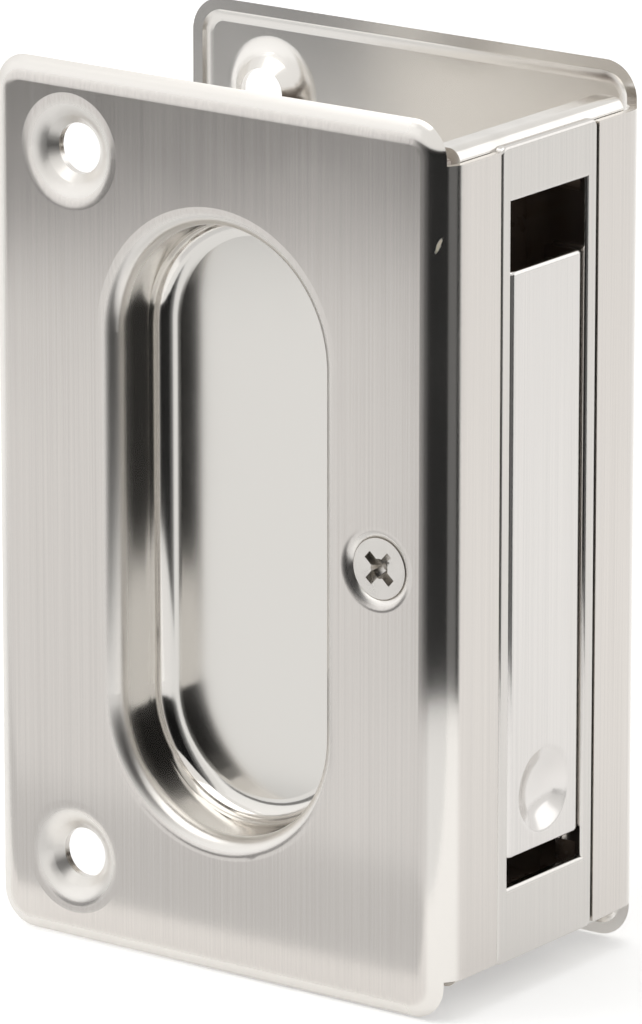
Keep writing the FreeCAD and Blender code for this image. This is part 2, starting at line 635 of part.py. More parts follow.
def edge_pull():
    """Fold the pull: a channel with a thumb dish, pivot lobes on its flanges and two stop toes."""
    label = "edge_pull"
    body = new_body(label)
    half, inner = PULL_HALF_WIDTH, f"({PULL_HALF_WIDTH} - pull_sheet)"
    web, end = f"{PULL_FACE} - pull_sheet", f"{PULL_FACE} - pull_flange_depth"
    profile = new_sketch(body, f"{label}_profile", "XY_Plane", PULL_BOTTOM)
    draw_polygon(
        profile,
        [
            (PULL_FACE, f"-{half}"), (PULL_FACE, half), (end, half), (end, inner),
            (web, inner), (web, f"-{inner}"), (end, f"-{inner}"), (end, f"-{half}"),
        ],
    )
    pad(body, f"{label}_channel", profile, PULL_LENGTH)
    face, back = number(PULL_FACE), number(web)
    round_edges(
        body, f"{label}_bend_out", "pull_bend", lambda edge: along(edge, "Z") and flat_at(edge, "X", face)
    )
    round_edges(
        body, f"{label}_bend_in", "pull_bend - pull_sheet",
        lambda edge: along(edge, "Z") and flat_at(edge, "X", back),
    )
    round_edges(body, f"{label}_ends", "pull_end_radius", lambda edge: along(edge, "Y") and flat_at(edge, "X", face))

    # Lobes round the pivot, and toes that stop behind the cover to hold the pull flush
    neck, foot = f"{end} + toe_width", f"{WEB_OUT} - toe_clearance"
    toe_low, toe_high = f"{WINDOW_BOTTOM} - toe_overlap", f"{PULL_BOTTOM} + toe_root"
    foot_top = f"{WINDOW_BOTTOM} - toe_foot_gap"
    for side, offset in (("front", half), ("rear", f"-{inner}")):
        lobe = new_sketch(body, f"{label}_{side}_lobe_sketch", "XZ_Plane", offset)
        draw_circle(lobe, PIVOT_X, PIVOT_Z, "pivot_diameter / 2 + pivot_lobe_wall")
        pad(body, f"{label}_{side}_lobe", lobe, "pull_sheet", reverse=True)
        toe = new_sketch(body, f"{label}_{side}_toe_sketch", "XZ_Plane", offset)
        draw_polygon(
            toe,
            [(end, toe_low), (foot, toe_low), (foot, foot_top), (neck, foot_top), (neck, toe_high), (end, toe_high)],
        )
        pad(body, f"{label}_{side}_toe", toe, "pull_sheet", reverse=True)
    pivot = new_sketch(body, f"{label}_pivot_sketch", "XZ_Plane")
    draw_circle(pivot, PIVOT_X, PIVOT_Z, "pivot_diameter / 2 + pivot_clearance")
    pocket(body, f"{label}_pivot", pivot, symmetric=True)

    # Thumb dish pressed into the lower end
    dish_z = f"{PULL_BOTTOM} + thumb_dish_height"
    dish = ("thumb_dish_diameter / 2", "thumb_dish_floor / 2", "thumb_dish_depth")
    cone(body, f"{label}_dish_back", "Additive", "YZ_Plane", ("0", dish_z, web), dish)
    cone(body, f"{label}_dish_front", "Subtractive", "YZ_Plane", ("0", dish_z, PULL_FACE), dish)
    dish_centre, dish_reach = number(dish_z), number("thumb_dish_diameter / 2")

    def dish_edge(place_text):
        """Pick the dish's round edge at one depth."""
        place = number(place_text)
        return lambda edge: (
            flat_at(edge, "X", place)
            and abs(edge.CenterOfMass.y) < NEAR
            and abs(edge.CenterOfMass.z - dish_centre) < dish_reach
            and not along(edge, "Y")
        )

    deep, deep_back = f"{PULL_FACE} - thumb_dish_depth", f"{web} - thumb_dish_depth"
    round_edges(body, f"{label}_dish_floor", "thumb_dish_floor_radius", dish_edge(deep))
    round_edges(body, f"{label}_dish_floor_back", "thumb_dish_floor_radius + pull_sheet", dish_edge(deep_back))
    round_edges(body, f"{label}_dish_rim", "thumb_dish_blend", dish_edge(PULL_FACE))
    return body


def pull_pivot_pin():
    """Turn the pivot pin, headed at the front and standing a little past the box at the rear."""
    label = "pull_pivot_pin"
    body = new_body(label, PIVOT_X, "0", PIVOT_Z)
    profile = new_sketch(body, f"{label}_profile", "XY_Plane")
    head, shank = "pin_head_diameter / 2", "pivot_diameter / 2"
    draw_polygon(
        profile,
        [
            ("0", f"-{BOX_OUT} - pin_head_height"), (head, f"-{BOX_OUT} - pin_head_height"),
            (head, f"-{BOX_OUT}"), (shank, f"-{BOX_OUT}"),
            (shank, f"{BOX_OUT} + pin_tail"), ("0", f"{BOX_OUT} + pin_tail"),
        ],
    )
    turned = body.newObject("PartDesign::Revolution", f"{label}_turned")
    turned.Profile = profile
    turned.ReferenceAxis = (profile, ["V_Axis"])
    turned.Angle = 360
    doc.recompute()
    ends = (number(f"-{BOX_OUT} - pin_head_height"), number(f"{BOX_OUT} + pin_tail"))
    round_edges(
        body, f"{label}_ends", "pin_head_radius",
        lambda edge: any(flat_at(edge, "Y", place) for place in ends) and edge.Length > number("pivot_diameter"),
    )
    return body


def wire_run(name, start, direction, length):
    """Lay a straight run of spring wire from a bound point, with a rounded knee at its start."""
    run = doc.addObject("Part::Cylinder", name)
    run.Placement = FreeCAD.Placement(
        FreeCAD.Vector(), FreeCAD.Rotation(FreeCAD.Vector(0, 0, 1), FreeCAD.Vector(*direction))
    )
    knee = doc.addObject("Part::Sphere", f"{name}_knee")
    for piece in (run, knee):
        bind(piece, "Radius", "spring_wire / 2")
        for axis, text in zip("xyz", start):
            bind(piece, f"Placement.Base.{axis}", text)
    bind(run, "Height", length)
    return [run, knee]


def pull_return_spring():
    """Wind the return spring on the pin: one leg behind the pull's face, one hooked into the rear ear."""
    label = "pull_return_spring"
    half_coil = "(spring_pitch * spring_turns / 2)"
    coil = doc.addObject("Part::Helix", f"{label}_coil_path")
    coil.LocalCoord = "Left-handed"
    coil.Style = "New style"
    coil.Placement = FreeCAD.Placement(FreeCAD.Vector(), FreeCAD.Rotation(FreeCAD.Vector(1, 0, 0), -90))
    bind(coil, "Pitch", "spring_pitch")
    bind(coil, "Height", "spring_pitch * spring_turns")
    bind(coil, "Radius", COIL_RADIUS)
    section = doc.addObject("Part::Circle", f"{label}_section")
    bind(section, "Radius", "spring_wire / 2")
    start = (f"{PIVOT_X} + {COIL_RADIUS}", f"-{half_coil}", PIVOT_Z)
    for axis, path_text, section_text in zip("xyz", (PIVOT_X, f"-{half_coil}", PIVOT_Z), start):
        bind(coil, f"Placement.Base.{axis}", path_text)
        bind(section, f"Placement.Base.{axis}", section_text)
    swept = doc.addObject("Part::Sweep", f"{label}_coil")
    swept.Sections = [section]
    swept.Spine = (coil, [])
    swept.Solid = True
    swept.Frenet = True

    # The leg that presses on the pull leans from the coil to the back of the pull's face
    lean = f"({PULL_FACE} - pull_sheet - spring_wire / 2 - spring_leg_clearance - {PIVOT_X} - {COIL_RADIUS})"
    press_leg = wire_run(f"{label}_press_leg", start, (number(lean), 0, -number("spring_leg")), "spring_leg")
    hook_start = (PIVOT_X, half_coil, f"{PIVOT_Z} + {COIL_RADIUS}")
    back_leg = wire_run(f"{label}_back_leg", hook_start, (-1, 0, 0), "spring_hook_reach")
    hook_turn = (f"{PIVOT_X} - spring_hook_reach", half_coil, f"{PIVOT_Z} + {COIL_RADIUS}")
    hook = wire_run(f"{label}_hook", hook_turn, (0, 1, 0), f"{EAR_OUT} - spring_hook_setback - {half_coil}")
    spring = doc.addObject("Part::MultiFuse", label)
    spring.Label = label
    spring.Shapes = [swept] + press_leg + back_leg + hook
    doc.recompute()
    return spring


front_face, rear_face = f"-{FACE_DEPTH}", FACE_DEPTH
half_turn = FreeCAD.Rotation(FreeCAD.Vector(1, 0, 0), 180)
recess_turn = FreeCAD.Rotation(FreeCAD.Vector(0, 1, 0), SIZES["recess_turn"])

sub_parts = [
    trim_plate("front_trim_plate", front_face),
    trim_plate("rear_trim_plate", rear_face, half_turn),
    edge_bracket(),
    edge_cover(),
    pull_box(),
    edge_pull(),
    pull_pivot_pin(),
    pull_return_spring(),
    plate_screw("front_plate_screw", f"{front_face} + screw_head_sink", recess_turn),
    plate_screw("rear_plate_screw", f"{rear_face} - screw_head_sink", half_turn.multiply(recess_turn)),
]
doc.recompute()

# Nothing is written unless every feature is sound
for item in doc.Objects:
    if {"Invalid", "Error"} & set(item.State):
        raise RuntimeError(f"{item.Label} failed: {item.State}")
for part in sub_parts:
    if part.Shape.isNull() or not part.Shape.isValid() or len(part.Shape.Solids) != 1:
        raise RuntimeError(f"{part.Label} is not one sound solid")

os.makedirs("parts", exist_ok=True)
for part in sub_parts:
    part.Shape.exportStep(f"parts/{part.Label}.step")
    box = part.Shape.BoundBox
    print(
        f"{part.Label}: volume {part.Shape.Volume:.1f}, "
        f"x {box.XMin:.2f}..{box.XMax:.2f}, y {box.YMin:.2f}..{box.YMax:.2f}, z {box.ZMin:.2f}..{box.ZMax:.2f}"
    )
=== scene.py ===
"""Looks of a pocket door pull: satin nickel plates, bright cups and a sprung edge pull, in a white studio."""
import logging
import math
from dataclasses import dataclass
from enum import Enum
from typing import Any, Sequence

import bpy
import numpy as np
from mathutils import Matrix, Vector


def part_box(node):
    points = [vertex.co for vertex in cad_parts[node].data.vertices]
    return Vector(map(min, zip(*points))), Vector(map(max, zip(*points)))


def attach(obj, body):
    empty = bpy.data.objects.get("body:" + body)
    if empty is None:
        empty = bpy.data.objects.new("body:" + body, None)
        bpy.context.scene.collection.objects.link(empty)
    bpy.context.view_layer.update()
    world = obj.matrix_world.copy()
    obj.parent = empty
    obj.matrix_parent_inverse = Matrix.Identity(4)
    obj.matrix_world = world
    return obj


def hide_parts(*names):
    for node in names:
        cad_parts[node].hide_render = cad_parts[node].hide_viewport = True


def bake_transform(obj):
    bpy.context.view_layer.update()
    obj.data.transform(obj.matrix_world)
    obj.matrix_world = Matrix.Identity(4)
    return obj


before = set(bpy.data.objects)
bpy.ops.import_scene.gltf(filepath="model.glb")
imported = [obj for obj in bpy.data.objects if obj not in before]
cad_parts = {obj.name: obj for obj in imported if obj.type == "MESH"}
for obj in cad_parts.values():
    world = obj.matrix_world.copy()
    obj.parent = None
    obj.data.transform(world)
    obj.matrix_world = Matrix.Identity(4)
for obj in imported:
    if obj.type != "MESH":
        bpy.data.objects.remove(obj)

LOG = logging.getLogger("pocket_door_pull")
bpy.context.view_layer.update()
MM = 0.001

# Noise lies round this value
NOISE_MIDDLE = 0.5
# A plane this far off, in metres, leaves no mark on a piece
FAR_OFF = 1.0

Colour = tuple[float, float, float]
Place = tuple[float, float, float]
Span = tuple[float, float]


class Zone(Enum):
    """Where a piece's brushed flats lie: on a face plate, or on the door edge alone."""

    PLATE = "plate"
    DOOR_EDGE = "door edge"


class MixKind(Enum):
    """What a Mix node mixes: its data type, then the numbers of its two end sockets and of its result."""

    NUMBERS = ("FLOAT", 2, 3, 0)
    COLOURS = ("RGBA", 6, 7, 2)


class CardForm(Enum):
    """How a studio card stands: as an upright arc round the part, or as a flat sheet on the floor."""

    UPRIGHT = "upright"
    FLAT = "flat"


@dataclass(frozen=True)
class NoiseGrade:
    """How fine a noise field is: its scale, its layers of detail and the weight of the finer layers."""

    scale: Any
    detail: float
    roughness: float = 0.5


class NodeDesk:
    """Lays out the nodes of one shader tree with short calls."""

    def __init__(self, tree: bpy.types.NodeTree) -> None:
        """Keep the tree that the nodes go into."""
        self.tree = tree

    def add(self, kind: str, **settings: Any) -> bpy.types.Node:
        """Add one node and set its properties.

        Args:
            kind: the node's type name, without its ShaderNode prefix unless it has none.
            settings: properties of the node, by name.

        Returns:
            The new node.
        """
        node = self.tree.nodes.new(kind if kind.startswith("Node") else f"ShaderNode{kind}")
        for name, value in settings.items():
            setattr(node, name, value)
        return node

    def feed(self, socket: bpy.types.NodeSocket, value: Any) -> None:
        """Link a socket to another socket, or set it to a plain value.

        Args:
            socket: the input to feed.
            value: another node's output, a number, a vector or a colour of three parts.
        """
        if isinstance(value, bpy.types.NodeSocket):
            self.tree.links.new(value, socket)
        else:
            socket.default_value = (*value, 1.0) if socket.type == "RGBA" else value

    def feed_all(self, node: bpy.types.Node, values: dict[str, Any]) -> None:
        """Feed several inputs of a node, each by its name."""
        for name, value in values.items():
            self.feed(node.inputs[name], value)

    def point(self) -> bpy.types.NodeSocket:
        """Give the place on the surface in Object coordinates."""
        return self.add("TexCoord").outputs["Object"]

    def parts(self, vector: bpy.types.NodeSocket) -> bpy.types.Node:
        """Split a vector into outputs named X, Y and Z.

        Args:
            vector: the vector to split.

        Returns:
            The node that holds the outputs.
        """
        node = self.add("SeparateXYZ")
        self.feed(node.inputs[0], vector)
        return node

    def work_out(self, operation: str, *values: Any, clamp: bool = False) -> bpy.types.NodeSocket:
        """Work out one Math node.

        Args:
            operation: the Math node's operation.
            values: its inputs, sockets or numbers.
            clamp: whether the result stays between 0 and 1.

        Returns:
            The node's output.
        """
        node = self.add("Math", operation=operation, use_clamp=clamp)
        for socket, value in zip(node.inputs, values):
            self.feed(socket, value)
        return node.outputs[0]

    def ramp(self, value: Any, span: Span, start: float = 0.0, end: float = 1.0) -> bpy.types.NodeSocket:
        """Map a value from one range to another, smoothly and held at both ends.

        Args:
            value: the value to map.
            span: the range that it crosses.
            start: the result at the low end of that range and before it.
            end: the result at the high end of that range and past it.

        Returns:
            The mapped value.
        """
        node = self.add("MapRange", interpolation_type="SMOOTHSTEP")
        self.feed_all(node, {"Value": value, "From Min": span[0], "From Max": span[1]})
        self.feed_all(node, {"To Min": start, "To Max": end})
        return node.outputs["Result"]

    def mix(self, kind: MixKind, share: Any, start: Any, end: Any) -> bpy.types.NodeSocket:
        """Mix two numbers or two colours.

        Args:
            kind: which of them it mixes.
            share: 0 for the start alone, up to 1 for the end alone.
            start: the number or colour to start from.
            end: the number or colour to go to.

        Returns:
            The mixed number or colour.
        """
        data_type, first, second, result = kind.value
        node = self.add("Mix", data_type=data_type)
        for place, value in ((0, share), (first, start), (second, end)):
            self.feed(node.inputs[place], value)
        return node.outputs[result]

    def stretched(self, across: Any, along: Any) -> bpy.types.NodeSocket:
        """Give Object coordinates scaled across and along the brushing, which runs up the part.

        Args:
            across: the scale across the brushing.
            along: the scale along it.

        Returns:
            The scaled coordinates.
        """
        scale = self.add("CombineXYZ")
        self.feed_all(scale, {"X": across, "Y": across, "Z": along})
        product = self.add("VectorMath", operation="MULTIPLY")
        self.feed(product.inputs[0], self.point())
        self.feed(product.inputs[1], scale.outputs[0])
        return product.outputs[0]

    def noise(self, vector: bpy.types.NodeSocket, grade: NoiseGrade) -> bpy.types.NodeSocket:
        """Sample a noise field.

        Args:
            vector: where it is sampled.
            grade: how fine it is.

        Returns:
            The noise, round its middle value.
        """
        node = self.add("TexNoise")
        self.feed_all(node, {"Vector": vector, "Scale": grade.scale})
        self.feed_all(node, {"Detail": grade.detail, "Roughness": grade.roughness})
        return node.outputs["Fac"]

    def bump(self, height: bpy.types.NodeSocket, strength: float, depth: float) -> bpy.types.NodeSocket:
        """Turn a height into a normal.

        Args:
            height: the height, where 1 is the full depth.
            strength: how much of the bump shows.
            depth: the full depth, in metres.

        Returns:
            The normal.
        """
        node = self.add("Bump")
        self.feed_all(node, {"Height": height, "Strength": strength, "Distance": depth})
        return node.outputs["Normal"]

    def group(self, tree: bpy.types.NodeTree, **values: Any) -> bpy.types.Node:
        """Place a node group and feed its inputs.

        Args:
            tree: the group's tree.
            values: what its inputs get, by their names.

        Returns:
            The group's node.
        """
        node = self.add("Group", node_tree=tree)
        self.feed_all(node, values)
        return node


@dataclass
class SharedEffects:
    """The shader groups that several finishes use, each built once.

    The spans of the flat, deep, floor and corner masks are counted in reaches, where a reach is the depth
    over which a finish's brushing fades out. The inner span is a range of the outward part of the surface's
    normal.
    """

    hairline_noise: NoiseGrade = NoiseGrade(scale=1.0, detail=3.0, roughness=0.65)
    streak_noise: NoiseGrade = NoiseGrade(scale=0.22, detail=2.0, roughness=0.55)
    flat_span: Span = (0.1, 1.0)
    deep_span: Span = (5.0, 13.0)
    floor_span: Span = (26.5, 28.3)
    corner_span: Span = (13.0, 20.0)
    inner_span: Span = (-0.5, -0.15)
    dulling_detail: float = 3.0
    dulling_span: Span = (0.42, 0.72)

    def __post_init__(self) -> None:
        """Build every group."""
        self.grain = self._grain()
        self.flats = self._flats()
        self.inner = self._inner()
        self.handling = self._handling()

    @staticmethod
    def _start(name: str, inputs: Sequence[str], outputs: Sequence[str]) -> tuple[NodeDesk, Any, Any]:
        """Start a group with plain value sockets.

        Args:
            name: the group's name.
            inputs: names of its inputs.
            outputs: names of its outputs.

        Returns:
            Its desk, its input node and its output node.
        """
        tree = bpy.data.node_groups.new(name, "ShaderNodeTree")
        for names, way in ((inputs, "INPUT"), (outputs, "OUTPUT")):
            for socket in names:
                tree.interface.new_socket(socket, in_out=way, socket_type="NodeSocketFloat")
        desk = NodeDesk(tree)
        return desk, desk.add("NodeGroupInput"), desk.add("NodeGroupOutput")

    def _grain(self) -> bpy.types.NodeTree:
        """Build brushed grain: fine hairlines and broader streaks, both drawn out along the brushing.

        Returns:
            The group's tree.
        """
        desk, given, result = self._start("Brushed grain", ("Across", "Along"), ("Hairline", "Streak"))
        fine = desk.stretched(given.outputs["Across"], given.outputs["Along"])
        desk.feed(result.inputs["Hairline"], desk.noise(fine, self.hairline_noise))
        desk.feed(result.inputs["Streak"], desk.noise(fine, self.streak_noise))
        return desk.tree

    def _flats(self) -> bpy.types.NodeTree:
        """Build masks from the depth behind a piece's outer planes.

        Flat is 1 on the outer planes, Deep rises to 1 down the wall of a cup, Floor is 1 at the bottom of a
        cup, and Corner is 1 near the plane of the door's edge.

        Returns:
            The group's tree.
        """
        outputs = ("Flat", "Deep", "Floor", "Corner")
        desk, given, result = self._start("Brushed flats", ("Face", "Edge", "Reach"), outputs)
        place = desk.parts(desk.point())
        from_middle = desk.work_out("ABSOLUTE", place.outputs["Y"])
        behind_face = desk.work_out("SUBTRACT", given.outputs["Face"], from_middle)
        behind_edge = desk.work_out("SUBTRACT", given.outputs["Edge"], place.outputs["X"])
        depth = desk.work_out("MINIMUM", behind_face, behind_edge)
        reaches = desk.work_out("DIVIDE", depth, given.outputs["Reach"])
        desk.feed(result.inputs["Flat"], desk.ramp(reaches, self.flat_span, 1.0, 0.0))
        desk.feed(result.inputs["Deep"], desk.ramp(reaches, self.deep_span))
        desk.feed(result.inputs["Floor"], desk.ramp(reaches, self.floor_span))
        edge_reaches = desk.work_out("DIVIDE", behind_edge, given.outputs["Reach"])
        desk.feed(result.inputs["Corner"], desk.ramp(edge_reaches, self.corner_span, 1.0, 0.0))
        return desk.tree

    def _inner(self) -> bpy.types.NodeTree:
        """Build the mask of a plate's inner side, which faces the middle of the door.

        Returns:
            The group's tree.
        """
        desk, _, result = self._start("Inner side", (), ("Inside",))
        coordinates = desk.add("TexCoord")
        place = desk.parts(coordinates.outputs["Object"])
        normal = desk.parts(coordinates.outputs["Normal"])
        side = desk.work_out("SIGN", place.outputs["Y"])
        outward = desk.work_out("MULTIPLY", normal.outputs["Y"], side)
        desk.feed(result.inputs["Inside"], desk.ramp(outward, self.inner_span, 1.0, 0.0))
        return desk.tree

    def _handling(self) -> bpy.types.NodeTree:
        """Build handling marks: soft patches of a given size where the surface has dulled.

        Returns:
            The group's tree.
        """
        desk, given, result = self._start("Handling marks", ("Size",), ("Dulling",))
        scale = desk.work_out("DIVIDE", 1.0, given.outputs["Size"])
        soft = desk.noise(desk.point(), NoiseGrade(scale, self.dulling_detail))
        desk.feed(result.inputs["Dulling"], desk.ramp(soft, self.dulling_span))
        return desk.tree


def principled(name: str) -> tuple[bpy.types.Material, NodeDesk, bpy.types.Node]:
    """Start a material on the Principled shader.

    Args:
        name: the material's name.

    Returns:
        The material, the desk of its tree and its shader.
    """
    material = bpy.data.materials.new(name)
    material.use_nodes = True
    return material, NodeDesk(material.node_tree), material.node_tree.nodes["Principled BSDF"]


def shaded(colour: Colour, share: float) -> Colour:
    """Darken a colour to a share of itself."""
    return tuple(part * share for part in colour)


@dataclass(frozen=True)
class Nick:
    """A small nick in the plating: a leaning ellipse with a ragged edge, dull inside.

    The raggedness and the edge's span are counted in radii of the ellipse.
    """

    place: Place
    radii: Place = (0.24 * MM, 1.0 * MM, 1.0 * MM)
    turned: Place = (0.0, 0.3, 0.0)
    colour: Colour = (0.88, 0.84, 0.74)
    roughness: float = 0.85
    edge_noise: NoiseGrade = NoiseGrade(scale=2.6, detail=3.0)
    raggedness: float = 1.5
    edge_span: Span = (1.35, 1.6)

    def mask(self, desk: NodeDesk) -> bpy.types.NodeSocket:
        """Build the mask of the nick: distance from its middle in radii, with noise added, under a limit.

        Args:
            desk: the desk of the material's tree.

        Returns:
            A mask that is 1 inside the nick.
        """
        place = desk.add("Mapping", vector_type="TEXTURE")
        desk.feed_all(place, {"Vector": desk.point(), "Location": self.place})
        desk.feed_all(place, {"Rotation": self.turned, "Scale": self.radii})
        distance = desk.add("VectorMath", operation="LENGTH")
        desk.feed(distance.inputs[0], place.outputs[0])
        noise = desk.noise(place.outputs[0], self.edge_noise)
        ragged = desk.work_out("MULTIPLY_ADD", noise, self.raggedness, distance.outputs["Value"])
        return desk.ramp(ragged, self.edge_span, 1.0, 0.0)


@dataclass(frozen=True)
class NickelFinish:
    """Nickel plate: brushed on the flats, satin on the rolls and bright in the deep parts.

    The face and the edge are the planes that the brushed flats lie in: a distance from the middle of the
    door, and a distance towards the door's edge. The floor and inner values are for a face plate.
    """

    name: str
    zone: Zone
    edge: float
    flat_colour: Colour
    bright_colour: Colour
    face: float = FAR_OFF
    floor_colour: Colour | None = None
    # Painted light: a plate's inner side gets a lighter colour, standing in for the light that reaches it
    inner_painted_light_colour: Colour | None = None
    nick: Nick | None = None
    reach: float = 0.3 * MM
    flat_roughness: float = 0.195
    satin_roughness: float = 0.30
    roll_roughness: float = 0.15
    deep_roughness: float = 0.11
    floor_roughness: float = 0.14
    inner_roughness: float = 0.20
    streak_roughness: float = 0.05
    dulled_roughness: float = 0.025
    dulled_size: float = 16.0 * MM
    grain_across: float = 4200.0
    grain_along: float = 14.0
    grain_height: float = 0.012
    grain_depth: float = 0.02 * MM
    hairline_span: Span = (0.3, 0.75)
    hairline_share: float = 0.6
    hairline_shade: float = 0.87
    anisotropy: float = 0.6

    def make(self, effects: SharedEffects) -> bpy.types.Material:
        """Build the material.

        Args:
            effects: the shared shader groups.

        Returns:
            The finished material.
        """
        material, desk, shader = principled(self.name)
        masks = self._masks(desk, effects)
        height = desk.work_out("MULTIPLY", masks["Hairline"], masks["Flat"])
        looks = {
            "Base Color": self._colour(desk, masks),
            "Roughness": self._roughness(desk, masks),
            "Normal": desk.bump(height, self.grain_height, self.grain_depth),
            "Metallic": 1.0,
            "Anisotropic": self.anisotropy,
        }
        desk.feed_all(shader, looks)
        return material

    def _masks(self, desk: NodeDesk, effects: SharedEffects) -> dict[str, bpy.types.NodeSocket]:
        """Place the shared groups and gather what they give.

        Args:
            desk: the desk of the material's tree.
            effects: the shared shader groups.

        Returns:
            The groups' outputs by name, and the mask of the nick where there is one.
        """
        placed = [
            desk.group(effects.flats, Face=self.face, Edge=self.edge, Reach=self.reach),
            desk.group(effects.grain, Across=self.grain_across, Along=self.grain_along),
            desk.group(effects.handling, Size=self.dulled_size),
        ]
        if self.zone is Zone.PLATE:
            placed.append(desk.group(effects.inner))
        masks = {socket.name: socket for node in placed for socket in node.outputs}
        if self.nick:
            masks["Nick"] = self.nick.mask(desk)
        return masks

    def _roughness(self, desk: NodeDesk, masks: dict[str, bpy.types.NodeSocket]) -> bpy.types.NodeSocket:
        """Lay the roughness of each part over that of the rolls, with faint streaks and dulled patches.

        Args:
            desk: the desk of the material's tree.
            masks: the masks by name.

        Returns:
            The roughness.
        """
        layers = [("Flat", self.flat_roughness), ("Deep", self.deep_roughness)]
        if self.zone is Zone.PLATE:
            layers += [("Floor", self.floor_roughness), ("Inside", self.inner_roughness)]
        polish = self.roll_roughness - self.satin_roughness
        rough = desk.work_out("MULTIPLY_ADD", masks["Corner"], polish, self.satin_roughness)
        for mask, value in layers:
            rough = desk.mix(MixKind.NUMBERS, masks[mask], rough, value)
        streak = desk.work_out("SUBTRACT", masks["Streak"], NOISE_MIDDLE)
        flat_streak = desk.work_out("MULTIPLY", streak, masks["Flat"])
        rough = desk.work_out("MULTIPLY_ADD", flat_streak, self.streak_roughness, rough)
        rough = desk.work_out("MULTIPLY_ADD", masks["Dulling"], self.dulled_roughness, rough, clamp=True)
        if self.nick:
            rough = desk.mix(MixKind.NUMBERS, masks["Nick"], rough, self.nick.roughness)
        return rough

    def _colour(self, desk: NodeDesk, masks: dict[str, bpy.types.NodeSocket]) -> bpy.types.NodeSocket:
        """Lay the colour of each part over that of the bright plate, with darker hairlines on the flats.

        Args:
            desk: the desk of the material's tree.
            masks: the masks by name.

        Returns:
            The colour.
        """
        hairline = desk.ramp(masks["Hairline"], self.hairline_span, 0.0, self.hairline_share)
        hairline_colour = shaded(self.flat_colour, self.hairline_shade)
        brushed = desk.mix(MixKind.COLOURS, hairline, self.flat_colour, hairline_colour)
        layers = [("Flat", brushed)]
        if self.zone is Zone.PLATE:
            # The inner side's colour is painted light, lighter than the bright plate
            layers += [("Floor", self.floor_colour), ("Inside", self.inner_painted_light_colour)]
        if self.nick:
            layers.append(("Nick", self.nick.colour))
        colour = self.bright_colour
        for mask, value in layers:
            colour = desk.mix(MixKind.COLOURS, masks[mask], colour, value)
        return colour


@dataclass(frozen=True)
class WorkedMetal:
    """Plain worked metal: turned, drawn, bright plated or coated, with fine tool marks."""

    name: str
    colour: Colour
    roughness: float
    mark_scale: float
    mark_height: float
    metallic: float = 1.0
    mark_detail: float = 3.0
    mark_weight: float = 0.6
    mark_roughness: float = 0.12
    mark_depth: float = 0.03 * MM
    dulled_size: float = 9.0 * MM
    dulled_roughness: float = 0.07
    dulled_share: float = 0.35
    dulled_shade: float = 0.75

    def make(self, effects: SharedEffects) -> bpy.types.Material:
        """Build the material.

        Args:
            effects: the shared shader groups.

        Returns:
            The finished material.
        """
        material, desk, shader = principled(self.name)
        dulling = desk.group(effects.handling, Size=self.dulled_size).outputs["Dulling"]
        marks = desk.noise(desk.point(), NoiseGrade(self.mark_scale, self.mark_detail, self.mark_weight))
        uneven = desk.work_out("SUBTRACT", marks, NOISE_MIDDLE)
        rough = desk.work_out("MULTIPLY_ADD", uneven, self.mark_roughness, self.roughness)
        rough = desk.work_out("MULTIPLY_ADD", dulling, self.dulled_roughness, rough, clamp=True)
        share = desk.work_out("MULTIPLY", dulling, self.dulled_share)
        dulled_colour = shaded(self.colour, self.dulled_shade)
        looks = {
            "Base Color": desk.mix(MixKind.COLOURS, share, self.colour, dulled_colour),
            "Roughness": rough,
            "Normal": desk.bump(marks, self.mark_height, self.mark_depth),
            "Metallic": self.metallic,
        }
        desk.feed_all(shader, looks)
        return material


def dress(node: str, material: bpy.types.Material) -> None:
    """Give a node of the frame one finish in every slot.

    Args:
        node: the node's name.
        material: the finish.
    """
    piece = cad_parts[node]
    if not piece.material_slots:
        piece.data.materials.append(material)
    for slot in piece.material_slots:
        slot.material = material
    LOG.info("dressed %s in %s", node, material.name)


def middle(node: str) -> Vector:
    """Give the middle of a node's box."""
    low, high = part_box(node)
    return (low + high) / 2.0


def grid_mesh(name: str, points: np.ndarray, wrap_across: bool, caps: bool) -> bpy.types.Object:
    """Make a mesh from a grid of points.

    Each cell of the grid becomes one four-sided face. A wrapped grid joins its last column to its first, and
    caps close the first and last rows with one face each.

    Args:
        name: the new object's name.
        points: grid of points in metres, shaped rows by columns by 3.
        wrap_across: whether the columns close into a ring.
        caps: whether the end rows are closed.

    Returns:
        The new object, linked to the scene.
    """
    rows, columns, _ = points.shape
    ids = np.arange(rows * columns).reshape(rows, columns)
    after = np.roll(ids, -1, axis=1) if wrap_across else ids[:, 1:]
    before = ids if wrap_across else ids[:, :-1]
    quads = np.stack([before[:-1], after[:-1], after[1:], before[1:]], axis=-1).reshape(-1, 4)
    faces = quads.tolist()
    if caps:
        faces += [ids[0, ::-1].tolist(), ids[-1].tolist()]
    mesh = bpy.data.meshes.new(name)
    mesh.from_pydata(points.reshape(-1, 3).tolist(), [], faces)
    mesh.validate()
    mesh.polygons.foreach_set("use_smooth", np.ones(len(mesh.polygons), dtype=bool))
    piece = bpy.data.objects.new(name, mesh)
    bpy.context.scene.collection.objects.link(piece)
    return piece


